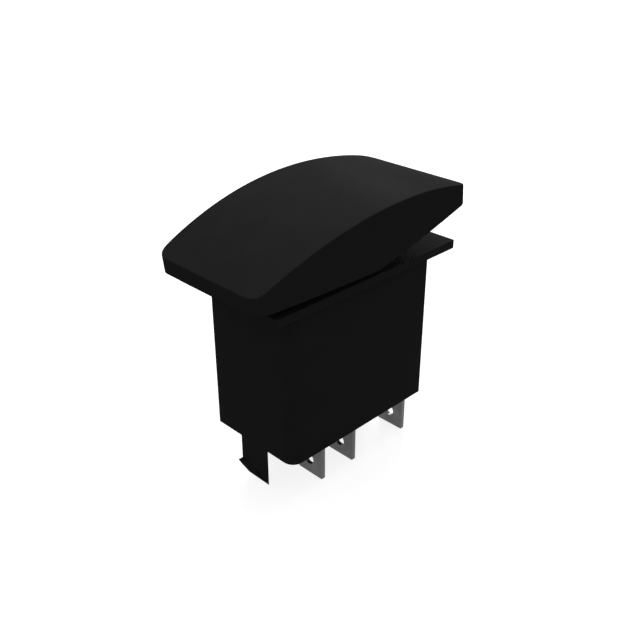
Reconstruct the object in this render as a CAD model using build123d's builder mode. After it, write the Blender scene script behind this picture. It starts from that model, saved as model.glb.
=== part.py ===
"""Panel rocker switch, double pole, two resting positions.

Frame: the origin is the centre of the panel cut-out in the plane of the panel's
front face. +Z points out of the panel, X runs along the switch and Y across it.
"Left" is -X, "right" is +X, "front" is -Y and "back" is +Y. The switch is at rest
with the left end of the rocker pressed. All sizes are in millimetres and degrees.
"""
from build123d import *
from math import cos, radians, sin, sqrt, tan
import os

# ---------------------------------------------------------------- driving sizes
# Body, behind the panel
body_length = 36.0
body_width = 21.0
body_depth = 31.3            # from the panel's face to the underside of the base
skirt_depth = 9.0            # part of that depth which belongs to the bracket
wall = 1.4
base_floor = 2.2
corner = 0.4                 # upright corners of the body
key_corner = 2.3             # the one rounded upright corner, front left
pole_wall = 1.2              # wall between the two poles
pole_wall_top = -15.0

# Flange, in front of the panel
flange_overhang_end = 4.9
flange_overhang_side = 2.2
flange_thickness = 1.6
flange_corner = 0.3
opening_length = 14.0        # hole in the flange for the rocker arm

# Rocker, sizes from its own pivot axis
pivot_height = 5.0
throw = 11.8                 # angle between the two resting positions
cap_reach_left = 26.8        # from the pivot to the end of the cap
cap_reach_right = 26.35
cap_width_middle = 27.7
cap_width_end = 25.35
cap_corner = 2.5
cap_crown = 9.0              # top of the arch above the pivot
cap_arch_radius = 74.8
cap_keel = 1.85              # middle of the underside below the pivot
cap_under_slope = 6.1        # rise of each half of the underside
cap_wall = 1.6
cap_roof = 1.8
cap_edge = 0.1

# Pivot
pin_radius = 1.25
ear_thickness = 2.0
ear_radius = 3.2
ear_gap = 0.2                # arm boss to ear, each side
running_clearance = 0.04     # radial, turning and sliding fits

# Rocker arm
boss_radius = 2.9
plate_length = 22.0
plate_bottom = 2.4
plate_thickness = 1.8
tube_radius = 2.6
tube_end = 17.0              # below the pivot
bore_end = 3.4               # below the pivot

# Plungers and springs
plunger_radius = 1.7
plunger_shoulder = 10.4      # below the pivot
spigot_radius = 0.85
spigot_height = 1.4
tip_clearance = 0.3          # plunger tip to lever at either end of the throw
spring_wire = 0.45
spring_turns = 4

# Contact system
pole_offset = 5.7            # centre of each pole from the middle of the body
fulcrum_height = -20.5
lever_swing = 15.0
lever_thickness = 1.0
lever_width = 5.2
lever_reach = 11.7
lever_clearance = 0.05
contact_reach = 10.0         # along the lever to the middle of a moving contact
contact_radius = 1.4
contact_height = 0.8
contact_crown = 0.25         # fall from the middle of a moving contact to its rim
contact_clearance = 0.2

# Terminals
blade_width = 6.35
blade_thickness = 0.8
blade_length = 8.75          # below the underside of the base
blade_chamfer = 0.12
blade_hole_radius = 1.2
blade_hole_height = 3.15     # above the foot of the blade
blade_hole_shift = 0.4       # from the middle of the blade, inwards
left_blade_x = -8.5
right_blade_x = 15.0
arm_width = 5.2
shoulder = 0.8               # sideways step that stops a blade on its post
shoulder_height = 1.2
post_margin = 1.6
common_post_drop = 3.2       # top of the common post below the fulcrum
horn_width = 0.9
horn_height = 2.2
slot_clearance = 0.03

# Gasket between bracket and base
gasket_width = 0.7
gasket_thickness = 0.8

# Snap tongues between bracket and base
tongue_width = 8.0
tongue_thickness = 1.2
tongue_length = 5.2          # below the skirt
tongue_clearance = 0.15
nib_depth = 0.55
nib_height = 1.4
nib_clearance = 0.08

# Latch leg on the base
leg_width = 7.5              # of the face flush with the end of the body
leg_back_width = 4.2
leg_thickness = 1.4
leg_length = 7.75
foot_cut_width = 1.7         # corner cut off the foot under the barb
foot_cut_height = 0.65
barb_depth = 1.05
barb_width = 2.2
barb_shoulder = 5.2          # below the underside of the base
barb_ramp = 1.9
scoop_depth = 0.5            # hollow above the foot, fading towards the front
scoop_start = 0.3            # from the middle of the leg
scoop_end = 3.3
scoop_height = 1.8
scoop_lip = 0.55             # from the foot to the floor of the hollow
scoop_fade = 0.2             # of its size at its far end

# ---------------------------------------------------------------- derived sizes
half_throw = throw / 2
inner_length = body_length - 2 * wall
inner_width = body_width - 2 * wall
base_height = body_depth - skirt_depth
floor_top = -body_depth + base_floor
blade_foot = -body_depth - blade_length
leg_foot = -body_depth - leg_length
tube_gap = 0.3
ear_inner = pole_offset + tube_radius + tube_gap
pin_length = 2 * (ear_inner + ear_thickness)
wing_slope = lever_swing / 2 + half_throw
lever_vertical = lever_thickness / cos(radians(wing_slope))
lever_seat = pivot_height - fulcrum_height - lever_clearance - lever_vertical
tip_centre = lever_seat * cos(radians(half_throw)) - plunger_radius - tip_clearance
contact_rise = contact_reach * tan(radians(wing_slope))
closed_x = contact_reach * cos(radians(lever_swing / 2)) + contact_rise * sin(
    radians(lever_swing / 2)
)
closed_z = contact_rise * cos(radians(lever_swing / 2)) - contact_reach * sin(
    radians(lever_swing / 2)
)
fixed_contact_top = (
    fulcrum_height
    + closed_z
    - contact_height * cos(radians(half_throw))
    - contact_clearance
)
arm_top = fixed_contact_top - contact_height
post_top = arm_top - blade_thickness
common_post_top = fulcrum_height - common_post_drop
fixed_contact_x = closed_x + contact_height * sin(radians(half_throw))
poles = {"front": -1, "back": 1}

# ---------------------------------------------------------------- shared planes
rocker_plane = Plane(
    origin=(0, 0, pivot_height),
    x_dir=(cos(radians(half_throw)), 0, sin(radians(half_throw))),
    z_dir=(-sin(radians(half_throw)), 0, cos(radians(half_throw))),
)
rocker_side = Plane(
    origin=rocker_plane.origin, x_dir=rocker_plane.x_dir, z_dir=-rocker_plane.y_dir
)


def lever_side(pole):
    """Side-view plane of a lever in its resting tilt, through the fulcrum line."""
    swing = radians(lever_swing / 2)
    return Plane(
        origin=(0, pole * pole_offset, fulcrum_height + lever_clearance),
        x_dir=(cos(swing), 0, -sin(swing)),
        z_dir=(0, -1, 0),
    )


def body_outline(inset=0.0):
    """Outline of the body: a rectangle with one rounded key corner."""
    with BuildSketch() as outline:
        Rectangle(body_length - 2 * inset, body_width - 2 * inset)
        fillet(vertices().sort_by(lambda v: v.X + v.Y)[0], key_corner - inset)
        if inset < corner:
            fillet(vertices().sort_by(lambda v: v.X + v.Y)[2:], corner - inset)
    return outline.sketch


def save(part, name):
    part.label = name
    export_step(part, f"parts/{name}.step")


os.makedirs("parts", exist_ok=True)


# ---------------------------------------------------------------- rocker cap
def cap_plan(inset):
    """Plan of the cap: bowed long sides, straight ends, rounded corners."""
    left = inset - cap_reach_left
    right = cap_reach_right - inset
    bow_end = cap_width_end / 2 - inset
    bow_middle = cap_width_middle / 2 - inset
    with BuildSketch() as plan:
        with BuildLine():
            ThreePointArc((left, bow_end), (0, bow_middle), (right, bow_end))
            Line((right, bow_end), (right, -bow_end))
            ThreePointArc((right, -bow_end), (0, -bow_middle), (left, -bow_end))
            Line((left, -bow_end), (left, bow_end))
        make_face()
        fillet(vertices(), cap_corner - inset)
    return plan.sketch


def cap_profile(roof, drop):
    """Side view of the cap: arch on top, shallow V underneath, longer than the plan."""
    end = max(cap_reach_left, cap_reach_right) + 1.0
    top = cap_crown - cap_arch_radius + sqrt(cap_arch_radius**2 - end**2) - roof
    bottom = -cap_keel + end * tan(radians(cap_under_slope)) - drop
    keel = -cap_keel - drop
    with BuildSketch() as profile:
        with BuildLine():
            ThreePointArc((-end, top), (0, cap_crown - roof), (end, top))
            Polyline((end, top), (end, bottom), (0, keel), (-end, bottom), (-end, top))
        make_face()
    return profile.sketch


with BuildPart() as cap_space:
    with BuildSketch(rocker_side):
        add(cap_profile(cap_roof, cap_keel))
    extrude(amount=cap_width_middle, both=True)
    with BuildSketch(rocker_plane.offset(-3 * cap_keel)):
        add(cap_plan(cap_wall))
    extrude(amount=3 * cap_keel + cap_crown, mode=Mode.INTERSECT)

rib_x = plate_length / 2 - 2.0
rib_width = 2 * pole_offset
rib_thickness = 1.2
plate_top = plate_bottom + plate_thickness
snap_width = 5.0
snap_thickness = 1.2
snap_clearance = 0.1
snap_hook = 0.8
snap_inner = plate_length / 2 + snap_clearance
snap_outer = snap_inner + snap_thickness
rib_top = cap_crown - cap_roof + 0.2

with BuildPart() as rocker_cap:
    with BuildSketch(rocker_side):
        add(cap_profile(0, 0))
    extrude(amount=cap_width_middle, both=True)
    with BuildSketch(rocker_plane.offset(-2 * cap_keel)):
        add(cap_plan(0))
    extrude(amount=2 * cap_keel + cap_crown, mode=Mode.INTERSECT)
    top_face = faces().sort_by(Axis(rocker_plane.origin, rocker_plane.z_dir))[-1]
    chamfer(top_face.edges(), cap_edge)
    add(cap_space.part, mode=Mode.SUBTRACT)
    # Cross ribs that stand on the arm's plate
    with BuildSketch(rocker_plane.offset(plate_top)):
        with Locations((-rib_x, 0), (rib_x, 0)):
            Rectangle(rib_thickness, rib_width)
    extrude(amount=rib_top - plate_top)
    # Snap legs that hook under the ends of the plate
    for way in (-1, 1):
        with BuildSketch(rocker_side):
            with BuildLine():
                Polyline(
                    (way * snap_inner, rib_top - 0.6),
                    (way * snap_outer, rib_top - 0.6),
                    (way * snap_outer, plate_bottom - snap_clearance - 1.0),
                    (way * snap_inner, plate_bottom - snap_clearance - 1.0),
                    (way * (snap_inner - snap_hook), plate_bottom - snap_clearance - 0.3),
                    (way * (snap_inner - snap_hook), plate_bottom - snap_clearance),
                    (way * snap_inner, plate_bottom - snap_clearance),
                    close=True,
                )
            make_face()
        extrude(amount=snap_width / 2, both=True)
save(rocker_cap.part, "rocker_cap")


# ---------------------------------------------------------------- rocker arm
web_length = 14.0
web_thickness = 1.6

with BuildPart() as rocker_arm:
    with BuildSketch(rocker_side):
        Circle(boss_radius)
    extrude(amount=ear_inner - ear_gap, both=True)
    with BuildSketch(rocker_plane.offset(plate_bottom)):
        RectangleRounded(plate_length, 2 * (ear_inner - ear_gap), 1.0)
    extrude(amount=plate_thickness)
    # Webs between the boss and the plate
    for pole in poles.values():
        with BuildSketch(rocker_side.offset(-pole * pole_offset)):
            with BuildLine():
                Polyline(
                    (-web_length / 2, plate_bottom + 0.1),
                    (web_length / 2, plate_bottom + 0.1),
                    (boss_radius - 0.6, -boss_radius / 3),
                    (-boss_radius + 0.6, -boss_radius / 3),
                    close=True,
                )
            make_face()
        extrude(amount=web_thickness / 2, both=True)
    # Plunger tubes, their bores and the pin bore
    tube_places = [(0, pole * pole_offset) for pole in poles.values()]
    with BuildSketch(rocker_plane.offset(-tube_end)):
        with Locations(*tube_places):
            Circle(tube_radius)
    extrude(amount=tube_end)
    with BuildSketch(rocker_plane.offset(-tube_end)):
        with Locations(*tube_places):
            Circle(plunger_radius + running_clearance)
    extrude(amount=tube_end - bore_end, mode=Mode.SUBTRACT)
    with BuildSketch(rocker_side):
        Circle(pin_radius + running_clearance)
    extrude(amount=pin_length, both=True, mode=Mode.SUBTRACT)
save(rocker_arm.part, "rocker_arm")


# ---------------------------------------------------------------- pivot pin
with BuildPart() as pivot_pin:
    with BuildSketch(rocker_side):
        Circle(pin_radius)
    extrude(amount=pin_length / 2, both=True)
    chamfer(edges().filter_by(GeomType.CIRCLE), 0.2)
save(pivot_pin.part, "pivot_pin")


# ---------------------------------------------------------------- bracket
tongue_outer = inner_length / 2 - tongue_clearance
tongue_inner = tongue_outer - tongue_thickness
tongue_foot = -skirt_depth - tongue_length
nib_top = -skirt_depth - tongue_length / 2

with BuildPart() as mounting_bracket:
    with BuildSketch():
        Rectangle(
            body_length + 2 * flange_overhang_end, body_width + 2 * flange_overhang_side
        )
        fillet(vertices(), flange_corner)
    extrude(amount=flange_thickness)
    with BuildSketch(Plane.XY.offset(-skirt_depth)):
        add(body_outline())
    extrude(amount=skirt_depth)
    with BuildSketch(Plane.XY.offset(-skirt_depth)):
        add(body_outline(wall))
    extrude(amount=skirt_depth, mode=Mode.SUBTRACT)
    with BuildSketch():
        Rectangle(opening_length, 2 * ear_inner)
    extrude(amount=flange_thickness, mode=Mode.SUBTRACT)
    # Pivot ears
    for side in (-1, 1):
        with BuildSketch(Plane.XZ.offset(-side * (ear_inner + ear_thickness / 2))):
            with Locations((0, (flange_thickness + pivot_height) / 2)):
                Rectangle(2 * ear_radius, pivot_height - flange_thickness)
            with Locations((0, pivot_height)):
                Circle(ear_radius)
        extrude(amount=ear_thickness / 2, both=True)
    with BuildSketch(Plane.XZ):
        with Locations((0, pivot_height)):
            Circle(pin_radius)
    extrude(amount=pin_length, both=True, mode=Mode.SUBTRACT)
    # Snap tongues
    for way in (-1, 1):
        with BuildSketch(Plane.XZ):
            with BuildLine():
                Polyline(
                    (way * tongue_inner, 0),
                    (way * inner_length / 2, 0),
                    (way * inner_length / 2, -skirt_depth),
                    (way * tongue_outer, -skirt_depth),
                    (way * tongue_outer, nib_top),
                    (way * (tongue_outer + nib_depth), nib_top),
                    (way * tongue_outer, nib_top - nib_height),
                    (way * tongue_outer, tongue_foot),
                    (way * tongue_inner, tongue_foot),
                    close=True,
                )
            make_face()
        extrude(amount=tongue_width / 2, both=True)
save(mounting_bracket.part, "mounting_bracket")


# ---------------------------------------------------------------- gasket
with BuildPart() as housing_gasket:
    with BuildSketch(Plane.XY.offset(-skirt_depth - gasket_thickness)):
        add(body_outline(wall - gasket_width))
        add(body_outline(wall), mode=Mode.SUBTRACT)
    extrude(amount=gasket_thickness)
save(housing_gasket.part, "housing_gasket")


# ---------------------------------------------------------------- base
blade_inner = pole_offset - blade_width / 2
pole_width = inner_width / 2 - pole_wall / 2
pole_centre = (inner_width + pole_wall) / 4
left_arm_end = -fixed_contact_x - contact_radius - 0.4
right_arm_end = fixed_contact_x - contact_radius - 0.4
slot_length = blade_width + 2 * slot_clearance
slot_width = blade_thickness + 2 * slot_clearance


# Posts that carry the terminals: from, to, top
posts = (
    (left_arm_end, left_blade_x + post_margin, post_top),
    (-post_margin, post_margin, common_post_top),
    (right_arm_end, inner_length / 2, post_top),
)

with BuildPart() as base_housing:
    with BuildSketch(Plane.XY.offset(-body_depth)):
        add(body_outline())
    extrude(amount=base_height)
    with BuildSketch(Plane.XY.offset(floor_top)):
        add(body_outline(wall))
    extrude(amount=base_height - base_floor, mode=Mode.SUBTRACT)
    # Seat of the gasket, inside the rim
    with BuildSketch(Plane.XY.offset(-skirt_depth - gasket_thickness)):
        add(body_outline(wall - gasket_width))
    extrude(amount=gasket_thickness, mode=Mode.SUBTRACT)
    # Wall between the poles
    with BuildSketch(Plane.XY.offset(floor_top)):
        Rectangle(inner_length, pole_wall)
    extrude(amount=pole_wall_top - floor_top)
    for x_from, x_to, top in posts:
        with BuildSketch(Plane.XY.offset(floor_top)):
            with Locations(*[((x_from + x_to) / 2, side * pole_centre) for side in (-1, 1)]):
                Rectangle(x_to - x_from, pole_width)
        extrude(amount=top - floor_top)
    # Slots for the blades
    with BuildSketch(Plane.XY.offset(-body_depth)):
        for x in (left_blade_x, 0, right_blade_x):
            with Locations(*[(x, side * pole_offset) for side in (-1, 1)]):
                Rectangle(slot_width, slot_length)
    extrude(amount=body_depth + fulcrum_height, mode=Mode.SUBTRACT)
    # Pockets for the nibs of the bracket's tongues
    with BuildSketch(Plane.XY.offset(nib_top - nib_height - nib_clearance)):
        Rectangle(
            inner_length + 2 * (nib_depth + nib_clearance), tongue_width + 4 * nib_clearance
        )
        Rectangle(inner_length, tongue_width + 4 * nib_clearance, mode=Mode.SUBTRACT)
    extrude(amount=nib_height + 2 * nib_clearance, mode=Mode.SUBTRACT)
    # Latch leg, flush with the left end and narrower at its back
    with BuildSketch(Plane.XY.offset(leg_foot)):
        with BuildLine():
            Polyline(
                (-body_length / 2, leg_width / 2),
                (-body_length / 2, -leg_width / 2),
                (-body_length / 2 + leg_thickness, -leg_back_width / 2),
                (-body_length / 2 + leg_thickness, leg_back_width / 2),
                close=True,
            )
        make_face()
    extrude(amount=leg_length)
    with BuildSketch(Plane.YZ.offset(-body_length / 2)):
        with BuildLine():
            Polyline(
                (leg_width / 2, leg_foot),
                (leg_width / 2, leg_foot + foot_cut_height),
                (leg_width / 2 - foot_cut_width, leg_foot),
                close=True,
            )
        make_face()
    extrude(amount=leg_thickness, mode=Mode.SUBTRACT)
    # Hollow above its foot
    for y, share in ((scoop_start, 1.0), (scoop_end, scoop_fade)):
        floor = leg_foot + share * scoop_lip
        with BuildSketch(Plane.XZ.offset(y)):
            with BuildLine():
                Polyline(
                    (-body_length / 2 - scoop_depth / 4, floor),
                    (-body_length / 2 + share * scoop_depth, floor + share * scoop_depth / 2),
                    (-body_length / 2 - scoop_depth / 4, floor + share * scoop_height),
                    close=True,
                )
            make_face()
    loft(mode=Mode.SUBTRACT)
    # Barb at the back edge of the leg: level shoulder, ramp below, fading inwards
    with BuildSketch(Plane.XY.offset(-body_depth - barb_shoulder)):
        with BuildLine():
            Polyline(
                (-body_length / 2, leg_width / 2),
                (-body_length / 2 - barb_depth, leg_width / 2),
                (-body_length / 2, leg_width / 2 - barb_width),
                close=True,
            )
        make_face()
    with BuildSketch(Plane.XY.offset(-body_depth - barb_shoulder - barb_ramp)):
        with BuildLine():
            Polyline(
                (-body_length / 2 + 0.2, leg_width / 2),
                (-body_length / 2 - 0.05, leg_width / 2),
                (-body_length / 2 + 0.2, leg_width / 2 - barb_width),
                close=True,
            )
        make_face()
    loft()
save(base_housing.part, "base_housing")


# ---------------------------------------------------------------- terminals
def blade_profile(pole, top):
    """Blade seen along X, with its chamfered foot and hole."""
    outer = pole * (pole_offset + blade_width / 2)
    inner = pole * blade_inner
    with BuildSketch() as profile:
        with BuildLine():
            Polyline(
                (outer, top),
                (outer, blade_foot + blade_chamfer),
                (outer - pole * blade_chamfer, blade_foot),
                (inner + pole * blade_chamfer, blade_foot),
                (inner, blade_foot + blade_chamfer),
                (inner, top),
                close=True,
            )
        make_face()
        hole_y = pole * (pole_offset - blade_hole_shift)
        with Locations((hole_y, blade_foot + blade_hole_height)):
            Circle(blade_hole_radius, mode=Mode.SUBTRACT)
    return profile.sketch


def end_terminal(pole, blade_x, arm_end):
    """L-shaped terminal: blade through the floor, arm on its post under the contact."""
    with BuildPart() as terminal:
        with BuildSketch(Plane.YZ.offset(blade_x)):
            add(blade_profile(pole, arm_top))
        extrude(amount=blade_thickness / 2, both=True)
        away = 1 if arm_end < blade_x else -1
        start = blade_x + away * blade_thickness / 2
        with BuildSketch(Plane.XY.offset(post_top)):
            with Locations(((start + arm_end) / 2, pole * pole_offset)):
                Rectangle(abs(start - arm_end), arm_width)
        extrude(amount=blade_thickness)
        bend = edges().filter_by(Axis.Y).group_by(Axis.Z)[-1].sort_by(Axis.X)
        fillet(bend[-1] if away > 0 else bend[0], blade_thickness * 0.8)
    return terminal.part


def common_terminal(pole):
    """Straight terminal with the lever's fulcrum between two horns."""
    with BuildPart() as terminal:
        with BuildSketch(Plane.YZ):
            add(blade_profile(pole, fulcrum_height))
            for side in (-1, 1):
                horn_y = pole * pole_offset + side * (blade_width - horn_width) / 2
                with Locations((horn_y, fulcrum_height + horn_height / 2)):
                    Rectangle(horn_width, horn_height)
            with Locations(
                (pole * (blade_inner - shoulder / 2), common_post_top + shoulder_height / 2)
            ):
                Rectangle(shoulder, shoulder_height)
        extrude(amount=blade_thickness / 2, both=True)
    return terminal.part


for row, pole in poles.items():
    save(end_terminal(pole, left_blade_x, left_arm_end), f"terminal_left_{row}")
    save(common_terminal(pole), f"terminal_common_{row}")
    save(end_terminal(pole, right_blade_x, right_arm_end), f"terminal_right_{row}")


# ---------------------------------------------------------------- contacts
def contact(plane, crown=0.0):
    """Contact button standing on a plane, its face flat or crowned."""
    with BuildPart() as button:
        with BuildSketch(plane):
            with BuildLine():
                Polyline(
                    (0, 0),
                    (contact_radius, 0),
                    (contact_radius, contact_height - crown),
                    (0, contact_height),
                    close=True,
                )
            make_face()
        revolve(axis=Axis(plane.origin, plane.y_dir))
    return button.part


for row, pole in poles.items():
    for end, way in (("left", -1), ("right", 1)):
        seat = Plane(
            origin=(way * fixed_contact_x, pole * pole_offset, arm_top),
            x_dir=(1, 0, 0),
            z_dir=(0, -1, 0),
        )
        save(contact(seat), f"fixed_contact_{end}_{row}")


# ---------------------------------------------------------------- contact levers
waist_length = 1.8
waist_width = blade_width - 2 * horn_width - 2 * 0.15


def contact_lever(pole):
    """V-shaped lever, narrowed at the middle to sit between the horns."""
    side = lever_side(pole)
    rise = lever_reach * tan(radians(wing_slope))
    with BuildPart() as lever:
        with BuildSketch(side):
            with BuildLine():
                Polyline(
                    (0, 0),
                    (lever_reach, rise),
                    (lever_reach, rise + lever_vertical),
                    (0, lever_vertical),
                    (-lever_reach, rise + lever_vertical),
                    (-lever_reach, rise),
                    close=True,
                )
            make_face()
        extrude(amount=lever_width / 2, both=True)
        for edge in (-1, 1):
            with BuildSketch(side.offset(edge * (lever_width + waist_width) / 4)):
                Rectangle(waist_length, 4 * lever_vertical)
            extrude(amount=(lever_width - waist_width) / 4, both=True, mode=Mode.SUBTRACT)
    return lever.part


def moving_seat(pole, way):
    """Plane of a moving contact on the underside of one wing, dome facing down."""
    side = lever_side(pole)
    place = side.from_local_coords((way * contact_reach, contact_rise, 0))
    tilt = radians(way * wing_slope - lever_swing / 2)
    return Plane(origin=place, x_dir=(-cos(tilt), 0, -sin(tilt)), z_dir=(0, -1, 0))


for row, pole in poles.items():
    save(contact_lever(pole), f"contact_lever_{row}")
    for end, way in (("left", -1), ("right", 1)):
        save(contact(moving_seat(pole, way), contact_crown), f"moving_contact_{end}_{row}")


# ---------------------------------------------------------------- plungers, springs
def plunger(pole):
    """Plunger with a rounded cone for a tip and a spigot that centres the spring."""
    tip = plunger_radius * sqrt(0.5)
    cone = plunger_radius - tip
    side = Plane(
        origin=rocker_plane.from_local_coords((0, pole * pole_offset, 0)),
        x_dir=rocker_side.x_dir,
        z_dir=rocker_side.z_dir,
    )
    with BuildPart() as body:
        with BuildSketch(side):
            with BuildLine():
                Polyline(
                    (0, -tip_centre - plunger_radius),
                    (0, -plunger_shoulder + spigot_height),
                    (spigot_radius, -plunger_shoulder + spigot_height),
                    (spigot_radius, -plunger_shoulder),
                    (plunger_radius, -plunger_shoulder),
                    (plunger_radius, -tip_centre - tip + cone),
                    (tip, -tip_centre - tip),
                )
                RadiusArc(
                    (tip, -tip_centre - tip), (0, -tip_centre - plunger_radius), plunger_radius
                )
            make_face()
        revolve(axis=Axis(side.origin, side.y_dir))
    return body.part


def plunger_spring(pole):
    """Coil spring between the end of the bore and the shoulder of the plunger."""
    room = plunger_shoulder - bore_end
    coil_radius = (spigot_radius + plunger_radius) / 2
    start = rocker_plane.from_local_coords(
        (0, pole * pole_offset, spring_wire / 2 - plunger_shoulder)
    )
    rise = room - spring_wire
    with BuildPart() as spring:
        with BuildLine() as coil:
            Helix(rise / spring_turns, rise, coil_radius, start, rocker_plane.z_dir)
        with BuildSketch(coil.line ^ 0):
            Rectangle(spring_wire, spring_wire)
        sweep()
    return spring.part


for row, pole in poles.items():
    save(plunger(pole), f"plunger_{row}")
    save(plunger_spring(pole), f"plunger_spring_{row}")
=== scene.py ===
"""Looks of the panel rocker switch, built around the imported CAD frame."""
import math

import bpy
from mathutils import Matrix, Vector


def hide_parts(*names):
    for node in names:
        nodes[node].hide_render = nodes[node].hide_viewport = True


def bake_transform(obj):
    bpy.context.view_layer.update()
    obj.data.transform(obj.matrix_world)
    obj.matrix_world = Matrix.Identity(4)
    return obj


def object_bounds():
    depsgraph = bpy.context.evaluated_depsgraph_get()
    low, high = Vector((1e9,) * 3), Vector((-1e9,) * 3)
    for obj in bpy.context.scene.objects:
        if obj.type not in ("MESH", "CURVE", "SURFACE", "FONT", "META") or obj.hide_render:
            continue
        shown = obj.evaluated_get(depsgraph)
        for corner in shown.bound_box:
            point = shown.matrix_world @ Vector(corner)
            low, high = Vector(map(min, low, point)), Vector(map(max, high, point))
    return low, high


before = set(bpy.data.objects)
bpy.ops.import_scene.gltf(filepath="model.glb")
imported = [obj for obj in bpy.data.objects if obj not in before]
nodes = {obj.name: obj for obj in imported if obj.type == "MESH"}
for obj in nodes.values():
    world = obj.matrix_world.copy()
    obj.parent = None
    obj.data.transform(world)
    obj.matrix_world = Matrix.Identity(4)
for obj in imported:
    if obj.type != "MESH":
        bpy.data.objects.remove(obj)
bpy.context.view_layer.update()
MM = 0.001

# Camera: level with +X and +Y alike, and looking down by the pitch
CAMERA_PLACE = (-99.57, -98.98, 64.0)  # mm
CAMERA_PITCH = 28.37                   # degrees
LENS = 47.18                           # mm
SENSOR = 36.0                          # mm

# Stage: "lit" is what lights the object, "seen" is what shows and reflects
WORLD_LIT = 0.55
WORLD_SEEN = 1.0
FLOOR_SEEN = 0.83
FLOOR_DARK = 0.29
FLOOR_LIGHT = 0.31
FLOOR_HALF = 1.5                       # m
FLOOR_GAP = 0.02                       # mm below the lowest point

# Lamps: name, place (m), aim (m), diameter (m), power (W)
LAMPS = [
    ("top", (0.1, 0.05, 0.6), (0, 0, 0), 0.5, 1.7),
    ("back", (0.288, 0.373, 0.372), (0, 0, 0), 0.35, 3.1),
    ("low", (0.43, 0.34, 0.2), (0.015, -0.005, 0.01), 0.1, 0.85),  # sheen on the cap
    ("front", (-0.42, -0.42, 0.28), (0, 0, -0.01), 0.3, 0.46),
]

# Surface detail: noise scales are in repeats per metre
NOISE_LOW, NOISE_HIGH = 0.3, 0.7       # the range that noise mostly keeps to
BUMP_HEIGHT = 0.01                     # mm
BEVEL_SAMPLES = 6
PLASTIC_GRAIN = 1 / (0.06 * MM)
PLASTIC_CLOUD = 180.0
PLASTIC_TONE = 0.06                    # share that the colour varies by
PLASTIC_EDGE = 0.08                    # mm
METAL_LINES = 2500.0
METAL_CLOUD = 350.0
METAL_EDGE = 0.06                      # mm
ALONG_X = (0.04, 1, 1)                 # how lines of each drawing direction are stretched
ALONG_Y = (1, 0.04, 1)
ALONG_Z = (1, 1, 0.04)
EVEN = (1, 1, 1)

FACES_UP = 0.99                        # least upward part of a level face's normal


# ------------------------------------------------------------------ node trees
class Graph:
    """The node tree of a material or world, with short calls for the nodes used here."""

    def __init__(self, owner, output="ShaderNodeOutputMaterial"):
        owner.use_nodes = True
        self.tree = owner.node_tree
        self.tree.nodes.clear()
        self.output = self.add(output)

    def add(self, kind):
        return self.tree.nodes.new(kind)

    def link(self, source, target):
        self.tree.links.new(source, target)

    def finish(self, surface):
        self.link(surface, self.output.inputs["Surface"])

    def noise(self, scale, detail, rough, stretch=EVEN):
        mapping = self.add("ShaderNodeMapping")
        mapping.inputs["Scale"].default_value = stretch
        place = self.add("ShaderNodeTexCoord").outputs["Object"]
        self.link(place, mapping.inputs["Vector"])
        node = self.add("ShaderNodeTexNoise")
        node.inputs["Scale"].default_value = scale
        node.inputs["Detail"].default_value = detail
        node.inputs["Roughness"].default_value = rough
        self.link(mapping.outputs["Vector"], node.inputs["Vector"])
        return node.outputs["Fac"]

    def spread(self, value, low, high, low_in=NOISE_LOW, high_in=NOISE_HIGH):
        node = self.add("ShaderNodeMapRange")
        node.inputs["From Min"].default_value = low_in
        node.inputs["From Max"].default_value = high_in
        node.inputs["To Min"].default_value = low
        node.inputs["To Max"].default_value = high
        self.link(value, node.inputs["Value"])
        return node.outputs["Result"]

    def mix(self, noise, dark, light):
        node = self.add("ShaderNodeMix")
        node.data_type = "RGBA"
        self.link(self.spread(noise, 0.0, 1.0), node.inputs["Factor"])
        node.inputs["A"].default_value = dark
        node.inputs["B"].default_value = light
        return node.outputs["Result"]

    def rounded(self, edge, height, strength):
        """Normal with edges softened by edge mm, and a fine bump from height."""
        bevel = self.add("ShaderNodeBevel")
        bevel.samples = BEVEL_SAMPLES
        bevel.inputs["Radius"].default_value = edge * MM
        bump = self.add("ShaderNodeBump")
        bump.inputs["Strength"].default_value = strength
        bump.inputs["Distance"].default_value = BUMP_HEIGHT * MM
        self.link(height, bump.inputs["Height"])
        self.link(bevel.outputs["Normal"], bump.inputs["Normal"])
        return bump.outputs["Normal"]

    def seen_white(self, lit, seen):
        """Strength "seen" for rays from the camera and glossy or clear surfaces, else "lit"."""
        path = self.add("ShaderNodeLightPath")
        total = path.outputs["Is Camera Ray"]
        for ray in ("Is Glossy Ray", "Is Transmission Ray"):
            either = self.add("ShaderNodeMath")
            either.operation = "MAXIMUM"
            self.link(total, either.inputs[0])
            self.link(path.outputs[ray], either.inputs[1])
            total = either.outputs[0]
        return self.spread(total, lit, seen, 0.0, 1.0)


def grey(value, warmth=0.0):
    return (value * (1 + warmth), value, value * (1 - warmth), 1.0)


# ------------------------------------------------------------------ materials
def plastic(name, value, roughness, specular, warmth=0.0):
    """Moulded plastic with a fine even matte texture."""
    material = bpy.data.materials.new(name)
    graph = Graph(material)
    shader = graph.add("ShaderNodeBsdfPrincipled")
    shader.inputs["Specular IOR Level"].default_value = specular
    grain = graph.noise(PLASTIC_GRAIN, 3.0, 0.6)
    cloud = graph.noise(PLASTIC_CLOUD, 3.0, 0.5)
    dark = grey(value * (1 - PLASTIC_TONE), warmth)
    light = grey(value * (1 + PLASTIC_TONE), warmth)
    matte = graph.spread(cloud, roughness - 0.04, roughness + 0.04)
    normal = graph.rounded(PLASTIC_EDGE, grain, 0.25)
    graph.link(graph.mix(cloud, dark, light), shader.inputs["Base Color"])
    graph.link(matte, shader.inputs["Roughness"])
    graph.link(normal, shader.inputs["Normal"])
    graph.finish(shader.outputs["BSDF"])
    return material


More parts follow.
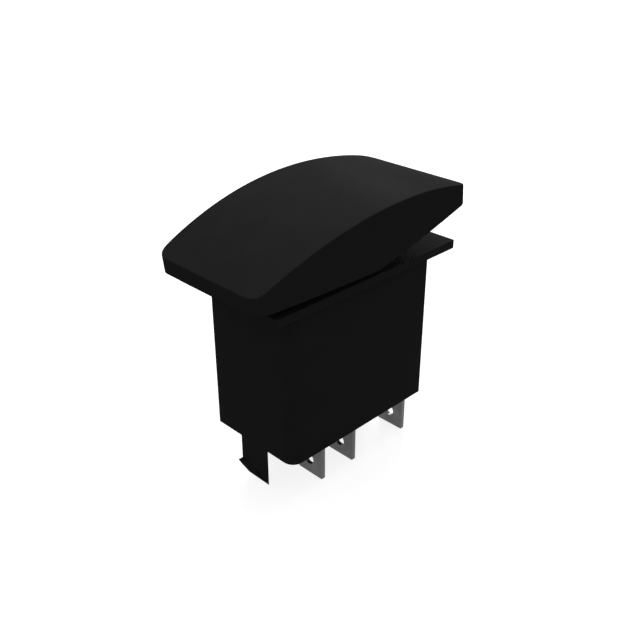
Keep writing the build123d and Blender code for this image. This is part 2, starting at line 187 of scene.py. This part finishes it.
def metal(name, colour, roughness, drawn):
    """Drawn or stamped metal, with fine lines along the drawing direction."""
    material = bpy.data.materials.new(name)
    graph = Graph(material)
    shader = graph.add("ShaderNodeBsdfPrincipled")
    shader.inputs["Metallic"].default_value = 1.0
    lines = graph.noise(METAL_LINES, 3.0, 0.6, drawn)
    cloud = graph.noise(METAL_CLOUD, 4.0, 0.55)
    dark = tuple(part * 0.82 for part in colour) + (1.0,)
    light = tuple(part * 1.12 for part in colour) + (1.0,)
    satin = graph.spread(lines, roughness - 0.06, roughness + 0.08)
    normal = graph.rounded(METAL_EDGE, lines, 0.12)
    graph.link(graph.mix(cloud, dark, light), shader.inputs["Base Color"])
    graph.link(satin, shader.inputs["Roughness"])
    graph.link(normal, shader.inputs["Normal"])
    graph.finish(shader.outputs["BSDF"])
    return material


def starting(*starts):
    """The names of the nodes that start with any of these words."""
    return [name for name in nodes if name.startswith(starts)]


def dress(names, material):
    for name in names:
        slots = nodes[name].data.materials
        slots.clear()
        slots.append(material)


def top_painted_lighter(name, material):
    """Put a second material, a copy painted lighter for the light that falls there, on the
    broadest level face of a node that looks up.
    """
    data = nodes[name].data
    data.materials.append(material)
    levels = {}
    for face in data.polygons:
        if face.normal.z > FACES_UP:
            levels.setdefault(round(face.center.z / MM, 1), []).append(face)
    broadest = max(levels.values(), key=lambda faces: sum(face.area for face in faces))
    for face in broadest:
        face.material_index = 1


# ------------------------------------------------------------------ springs
def coil(row):
    """A fixed copy of a plunger spring's mesh, shown in place of the hidden CAD node."""
    node = nodes[f"plunger_spring_{row}"]
    piece = bpy.data.objects.new(f"coil_{row}", node.data.copy())
    bpy.context.scene.collection.objects.link(piece)
    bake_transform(piece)
    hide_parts(node.name)


# ------------------------------------------------------------------ stage
def show(name, data):
    item = bpy.data.objects.new(name, data)
    bpy.context.scene.collection.objects.link(item)
    return item


def face_point(item, aim):
    item.rotation_euler = aim.to_track_quat("-Z", "Y").to_euler()


def add_camera():
    data = bpy.data.cameras.new("camera")
    data.sensor_width = SENSOR
    data.lens = LENS
    data.clip_start = 0.01
    camera = show("camera", data)
    camera.location = Vector(CAMERA_PLACE) * MM
    pitch = math.radians(CAMERA_PITCH)
    level = math.cos(pitch) / math.sqrt(2)
    face_point(camera, Vector((level, level, -math.sin(pitch))))
    bpy.context.scene.camera = camera


def add_world():
    world = bpy.data.worlds.new("studio")
    bpy.context.scene.world = world
    graph = Graph(world, "ShaderNodeOutputWorld")
    white = graph.add("ShaderNodeBackground")
    white.inputs["Color"].default_value = grey(1.0)
    graph.link(graph.seen_white(WORLD_LIT, WORLD_SEEN), white.inputs["Strength"])
    graph.finish(white.outputs["Background"])


def add_floor():
    """Floor that shows white, and dimmer where the object's shadow falls."""
    half = FLOOR_HALF
    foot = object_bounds()[0][2] - FLOOR_GAP * MM
    corners = [(-half, -half, foot), (half, -half, foot), (half, half, foot), (-half, half, foot)]
    mesh = bpy.data.meshes.new("floor")
    mesh.from_pydata(corners, [], [(0, 1, 2, 3)])
    material = bpy.data.materials.new("floor")
    graph = Graph(material)
    paper = graph.add("ShaderNodeBsdfDiffuse")
    tone = graph.mix(graph.noise(40.0, 2.0, 0.5), grey(FLOOR_DARK), grey(FLOOR_LIGHT))
    graph.link(tone, paper.inputs["Color"])
    glow = graph.add("ShaderNodeEmission")
    graph.link(graph.seen_white(0.0, FLOOR_SEEN), glow.inputs["Strength"])
    both = graph.add("ShaderNodeAddShader")
    graph.link(paper.outputs["BSDF"], both.inputs[0])
    graph.link(glow.outputs["Emission"], both.inputs[1])
    graph.finish(both.outputs["Shader"])
    mesh.materials.append(material)
    show("floor", mesh)


def add_lamp(name, place, aim, diameter, power):
    data = bpy.data.lights.new(name, "AREA")
    data.shape = "DISK"
    data.size = diameter
    data.energy = power
    lamp = show(name, data)
    lamp.location = place
    face_point(lamp, Vector(aim) - Vector(place))


add_camera()
add_world()
add_floor()
for lamp in LAMPS:
    add_lamp(*lamp)

# Black mouldings. The body and the bracket meet in one tone. The flange's top gets a less rough
# copy whose colour is painted slightly lighter, as painted light for the light that falls on it.
dress(["rocker_cap"], plastic("rocker_black", 0.0124, roughness=0.35, specular=0.0002))
dress(
    ["mounting_bracket", "base_housing"],
    plastic("housing_black", 0.0114, roughness=0.5, specular=0.0018),
)
# Painted light: the flange's top face is coloured a little lighter than the rest of the bracket.
top_painted_lighter(
    "mounting_bracket", plastic("flange_top_painted_light", 0.0118, roughness=0.42, specular=0.0011)
)
dress(["rocker_arm"], plastic("arm_black", 0.01, roughness=0.45, specular=0.006))
dress(["housing_gasket"], plastic("rubber", 0.012, roughness=0.8, specular=0.006))
dress(
    ["plunger_front", "plunger_back"],
    plastic("nylon", 0.62, roughness=0.4, specular=0.4, warmth=0.04),
)

# Metal parts
dress(starting("terminal"), metal("tin_plate", (0.11, 0.11, 0.113), 0.42, ALONG_Z))
dress(["pivot_pin"], metal("pin_steel", (0.45, 0.45, 0.46), 0.3, ALONG_Y))
dress(starting("plunger_spring"), metal("spring_steel", (0.5, 0.5, 0.5), 0.3, EVEN))
dress(
    starting("fixed_contact", "moving_contact"), metal("silver", (0.75, 0.75, 0.72), 0.3, EVEN)
)
dress(starting("contact_lever"), metal("copper", (0.72, 0.42, 0.22), 0.35, ALONG_X))
coil("front")
coil("back")

scene = bpy.context.scene
scene.view_settings.view_transform = "Standard"
